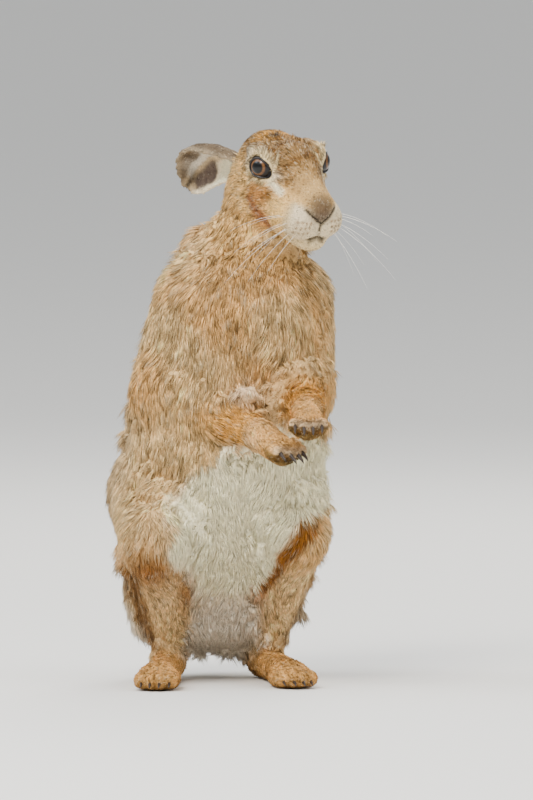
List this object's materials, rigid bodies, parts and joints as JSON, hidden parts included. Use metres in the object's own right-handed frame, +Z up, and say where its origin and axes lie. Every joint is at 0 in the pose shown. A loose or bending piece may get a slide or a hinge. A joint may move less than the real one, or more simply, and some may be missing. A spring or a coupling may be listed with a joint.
{
  "type": "brown hare",
  "caption": "Life-size brown hare sitting up on its hind feet with both forepaws held out and its head turned, as a still museum model.",
  "frame": {"origin": "on the floor, under the middle of the animal's box seen from above", "axes": "+Z up; the body faces -Y; the hare's left side is +X; units metres"},
  "size_m": [0.1728, 0.266, 0.397],
  "materials": {
    "coat_buff": "grizzled buff fur, matt",
    "foot_tan": "short orange-tan fur, matt",
    "belly_white": "soft white fur, matt",
    "ear_grey": "very short grey-brown fur, matt",
    "eye_amber": "wet, glossy amber eye with a black pupil",
    "claw_horn": "dark horn, satin"
  },
  "bodies": {
    "root": {"claw_fore_left_1": "claw_horn", "claw_fore_left_2": "claw_horn", "claw_fore_left_3": "claw_horn", "claw_fore_left_4": "claw_horn", "claw_fore_right_1": "claw_horn", "claw_fore_right_2": "claw_horn", "claw_fore_right_3": "claw_horn", "claw_fore_right_4": "claw_horn", "claw_hind_left_1": "claw_horn", "claw_hind_left_2": "claw_horn", "claw_hind_left_3": "claw_horn", "claw_hind_left_4": "claw_horn", "claw_hind_right_1": "claw_horn", "claw_hind_right_2": "claw_horn", "claw_hind_right_3": "claw_horn", "claw_hind_right_4": "claw_horn", "ear_left": "ear_grey", "ear_right": "ear_grey", "eye_left": "eye_amber", "eye_right": "eye_amber", "forearm_left": "coat_buff", "forearm_right": "coat_buff", "forepaw_left": "foot_tan", "forepaw_right": "foot_tan", "head": "coat_buff", "hind_foot_left": "foot_tan", "hind_foot_right": "foot_tan", "neck": "coat_buff", "shin_left": "coat_buff", "shin_right": "coat_buff", "tail": "belly_white", "thigh_left": "coat_buff", "thigh_right": "coat_buff", "trunk": "coat_buff"}
  },
  "joints": []
}
